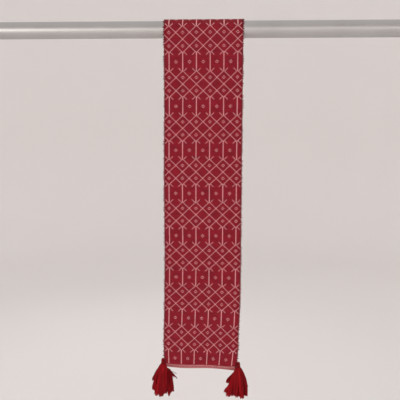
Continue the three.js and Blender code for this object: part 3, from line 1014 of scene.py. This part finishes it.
def yarn_paths(tassel, random):
    """The yarns of a tassel's skirt from its neck to their tips, and a tone for each."""
    place = tassel_place(tassel)
    t = np.linspace(0, 1, YARN_STEPS)
    top, shoulder = NECK_BOTTOM_MM - 1.5, SHOULDER_BOTTOM_MM - 2
    paths, tones = [], []
    for lock in tassel_locks(tassel, random):
        bow = random.normal(0, 1.8, 2)
        for yarn in range(lock["yarns"]):
            out = math.sqrt((yarn + 0.5) / lock["yarns"])
            aside = out * np.array([math.cos(yarn * GOLDEN_ANGLE), math.sin(yarn * GOLDEN_ANGLE)])
            root = np.array(lock["root"]) + LOCK_ROOT_SHARE * aside
            root /= max(1, math.hypot(*root))
            tip = np.array(lock["tip"][:2]) + aside * lock["spread"]
            depth = top + (lock["tip"][2] - random.exponential(3.0) - top) * t
            under = np.clip((depth - shoulder) / (depth[-1] - shoulder), 0, 1)
            flare = 1 - (1 - under) ** lock["bell"]
            body = np.where(depth < shoulder, shoulder_radius(depth), SHOULDER_RADIUS_MM) - YARN_RADIUS_MM
            crimp = 0.6 * under * np.sin(under * random.uniform(6, 12) + random.uniform(0, 6.3))
            curl = lock["curl"] * under ** 1.5
            phase = under * random.uniform(4, 7) + random.uniform(0, 6.3)
            lean = tassel["lean"] * np.clip((depth - top) / (shoulder - top), 0, 1)
            x = (root[0] * body + lean) * (1 - flare) + tip[0] * flare + bow[0] * np.sin(np.pi * under)
            y = root[1] * body * (1 - flare) + tip[1] * flare + bow[1] * np.sin(np.pi * under)
            x += crimp + curl * np.sin(phase)
            y += 0.6 * crimp + curl * np.cos(phase)
            paths.append(np.stack([x, y, -depth], -1) + place)
            tones.append(np.clip(lock["tone"] + random.normal(0, 0.12), 0, 1))
    return np.array(paths), np.array(tones)


def yarn_skirt(tassel, yarn):
    """One tassel's skirt of loose yarns."""
    paths, tones = yarn_paths(tassel, np.random.default_rng(tassel["seed"]))
    taper = np.interp(np.linspace(0, 1, YARN_STEPS), (0, 0.9, 1), (0.8, 1.0, 0.65))
    name = f"yarn_skirt_{tassel['name']}"
    return thread_piece(name, paths, YARN_RADIUS_MM * taper[None], YARN_SIDES, tones, yarn)


def yarn_head(tassel, yarn):
    """The bundle's folded top: yarns that run up from the neck, over the top and down the other side."""
    place = tassel_place(tassel)
    random = np.random.default_rng(tassel["seed"] + HEAD_SEED_STEP)
    radius, depth = np.array(HEAD_LINE).T
    paths = []
    for k in range(HEAD_YARNS):
        turn = 2 * np.pi * k / HEAD_YARNS + 0.35 * depth / 20 + random.normal(0, 0.05)
        reach = radius * (HEAD_RADIUS_MM - HEAD_INSET_MM) + random.normal(0, 0.15)
        paths.append(np.stack([reach * np.cos(turn), reach * np.sin(turn), -depth], -1) + place)
    for share, yarns in CROWN_RINGS:
        for k in range(yarns):
            turn = 2 * np.pi * k / yarns + 0.3
            reach = np.minimum(radius, share) * HEAD_RADIUS_MM
            paths.append(np.stack([reach * np.cos(turn), reach * np.sin(turn), -depth - 0.6], -1) + place)
    tones = np.clip(random.normal(0.45, 0.18, len(paths)), 0, 1)
    return thread_piece(f"yarn_head_{tassel['name']}", paths, HEAD_YARN_RADIUS_MM, 6, tones, yarn)


def neck_winding(tassel, yarn):
    """The thread wound round the neck, with its end tucked under."""
    t = np.linspace(0, WINDING_TURNS * 2 * np.pi, WINDING_TURNS * WINDING_STEPS + 1)
    height = np.linspace(NECK_TOP_MM + 0.5, NECK_BOTTOM_MM - 0.5, len(t))
    reach = WINDING_REACH_MM + 0.12 * np.sin(3.3 * t)
    path = np.stack([reach * np.cos(t), reach * np.sin(t), -height], -1) + tassel_place(tassel)
    return thread_piece(f"neck_winding_{tassel['name']}", [path], WINDING_RADIUS_MM, 6, 0.35, yarn)


def sewn_loops(tassel, yarn):
    """The stitches that hold a head to the selvedge, from the cloth's two faces into the yarn."""
    place = tassel_place(tassel)
    side, half = tassel["side"], tassel["half"]
    lag = selvedge_lag(tassel, tassel["drop"])
    t = np.linspace(0, 1, 10)
    paths = []
    for k, depth in enumerate(LOOP_DEPTHS_MM):
        along = half * (QUARTER_ARC_MM + tassel["drop"] + depth - lag)
        for face in (-1, 1):
            inset = 3.6 + 1.4 * (k % 2)
            start, _ = cloth_place(side * (0.5 - inset / CLOTH_WIDTH_MM), along, face * 0.3)
            end = place + np.array([side * 1.5, face * half * 4.6, -depth - 0.9 * (k % 2) - 1])
            path = start[None] * (1 - t[:, None]) + end[None] * t[:, None]
            path[:, 1] += face * half * 2.6 * np.sin(np.pi * t)
            paths.append(path)
    return thread_piece(f"sewn_loops_{tassel['name']}", paths, LOOP_RADIUS_MM, 6, 0.5, yarn)


def tube_rail(metal):
    """The rail: a round tube with small rounded edges at its cut ends."""
    outer, inner = RAIL_RADIUS_MM, RAIL_RADIUS_MM - RAIL_WALL_MM
    end = RAIL_HIGH.x / MM
    soft, eased = RAIL_ROUNDING_MM, RAIL_EASED_MM
    spans = np.linspace(-end + soft, end - soft, RAIL_SPANS + 1)
    section = [(inner, x) for x in spans[::-1]]
    section += [(inner + eased, -end + eased), (inner + soft, -end)]
    section += [(outer - soft, -end), (outer - eased, -end + eased)]
    section += [(outer, x) for x in spans]
    section += [(outer - eased, end - eased), (outer - soft, end)]
    section += [(inner + soft, end), (inner + eased, end - eased)]
    radius, x = np.array(section).T
    turn = np.arange(RAIL_SIDES) * 2 * np.pi / RAIL_SIDES
    points = np.stack([
        np.repeat(x[:, None], RAIL_SIDES, 1),
        radius[:, None] * np.cos(turn),
        radius[:, None] * np.sin(turn),
    ], -1)
    faces = ring_quads(len(section), RAIL_SIDES, closed=True)
    return mesh_piece("tube_rail", points.reshape(-1, 3), faces, [metal])


def studio_sweep(paper):
    """The pale floor, a round sheet of paper that bends up into a wall all round."""
    bend = np.linspace(0, np.pi / 2, 13)
    flat = WALL_DISTANCE - WALL_BEND_RADIUS
    line = [(0.01, 0.0), (flat / 2, 0.0)]
    line += [(flat + WALL_BEND_RADIUS * math.sin(a), WALL_BEND_RADIUS * (1 - math.cos(a))) for a in bend]
    line += [(WALL_DISTANCE, WALL_HEIGHT)]
    radius, height = np.array(line).T
    turn = np.arange(WALL_SIDES) * 2 * np.pi / WALL_SIDES
    rings = np.stack([
        radius[:, None] * np.cos(turn),
        radius[:, None] * np.sin(turn),
        np.repeat(height[:, None] - FLOOR_DROP, WALL_SIDES, 1),
    ], -1)
    faces = ring_quads(len(line), WALL_SIDES)[:, ::-1].tolist()
    faces.append(list(range(WALL_SIDES)))
    mesh_piece("studio_sweep", rings.reshape(-1, 3) / MM, faces, [paper])


def area_light(name, place, width, power, colour, in_gloss):
    """A soft round light that looks at the cloth's middle."""
    lamp = bpy.data.lights.new(name, "AREA")
    lamp.shape = "DISK"
    lamp.size = width
    lamp.energy = power
    lamp.color = to_linear(colour)[:3]
    light = new_object(name, lamp)
    light.location = place
    light.rotation_euler = (CLOTH_MIDDLE - Vector(place)).to_track_quat("-Z", "Y").to_euler()
    light.visible_camera = False
    light.visible_glossy = in_gloss


def studio_light():
    """Soft light from the front and both sides, a little from behind, and an even pale surround."""
    for light in LIGHTS:
        area_light(*light)
    world = bpy.data.worlds.new("studio_surround")
    world.use_nodes = True
    surround = world.node_tree.nodes["Background"]
    surround.inputs["Color"].default_value = to_linear("#f3efed")
    surround.inputs["Strength"].default_value = SURROUND_STRENGTH
    bpy.context.scene.world = world
    bpy.context.scene.view_settings.view_transform = "Standard"


def photo_camera():
    """The camera at the photograph's place, height and angle."""
    camera_data = bpy.data.cameras.new("photo_camera")
    camera_data.lens = CAMERA_LENS_SHARE * camera_data.sensor_width
    camera = new_object("photo_camera", camera_data)
    ahead = Vector((
        -math.sin(CAMERA_YAW) * math.cos(CAMERA_PITCH),
        math.cos(CAMERA_YAW) * math.cos(CAMERA_PITCH),
        -math.sin(CAMERA_PITCH),
    ))
    level = Vector((math.cos(CAMERA_YAW), math.sin(CAMERA_YAW), 0))
    right = level * math.cos(CAMERA_ROLL) + level.cross(ahead) * math.sin(CAMERA_ROLL)
    up = right.cross(ahead)
    turn = Matrix((right, up, -ahead)).transposed().to_4x4()
    camera.matrix_world = Matrix.Translation(CAMERA_PLACE) @ turn
    bpy.context.scene.camera = camera


def hung_tassel(tassel, skirt_yarn, head_yarn):
    """A whole tassel: skirt, head, winding and stitches, in place of its two solids."""
    skirt = yarn_skirt(tassel, skirt_yarn)
    head = yarn_head(tassel, head_yarn)
    winding = neck_winding(tassel, head_yarn)
    loops = sewn_loops(tassel, head_yarn)
    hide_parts(f"tassel_{tassel['name']}")
    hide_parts(f"binding_{tassel['name']}")
    for piece in (skirt, head, winding, loops):
        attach(piece, "root")


def main():
    """The cloth with its pattern and stitches, the rail, the four tassels, and the studio round them."""
    photo_camera()
    floss = rose_floss("rose_floss", "#e2a2a5", "#fccdce")
    carried_floss = rose_floss("carried_rose_floss", "#cf8a8a", "#e6a9a6")
    red_thread = two_ply_yarn("red_sewing_thread", "#75121f", "#93202f")
    edge_thread = two_ply_yarn("edge_thread", "#58091a", "#9c3f4a")
    skirt_yarn = two_ply_yarn("red_tassel_yarn", "#6a0911", "#a6131d")
    # Painted shade: the head, its winding and its stitches take a darker copy of the tassel yarn.
    head_yarn = two_ply_yarn("shaded_tassel_yarn", "#65090f", "#850f18")
    cloth = woven_cloth(red_cotton_ground(), wrong_side_of_brocade())
    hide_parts("runner")
    pattern = raised_pattern(floss)
    carried = carried_threads(carried_floss)
    turns = thread_turns(edge_thread)
    stitches = hem_stitches(red_thread)
    for piece in (cloth, *pattern, carried, turns, stitches):
        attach(piece, "root")
    rail = tube_rail(satin_anodised_aluminium())
    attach(rail, "root")
    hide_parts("rail")
    for tassel in TASSELS:
        hung_tassel(tassel, skirt_yarn, head_yarn)
    studio_sweep(studio_paper())
    studio_light()


main()
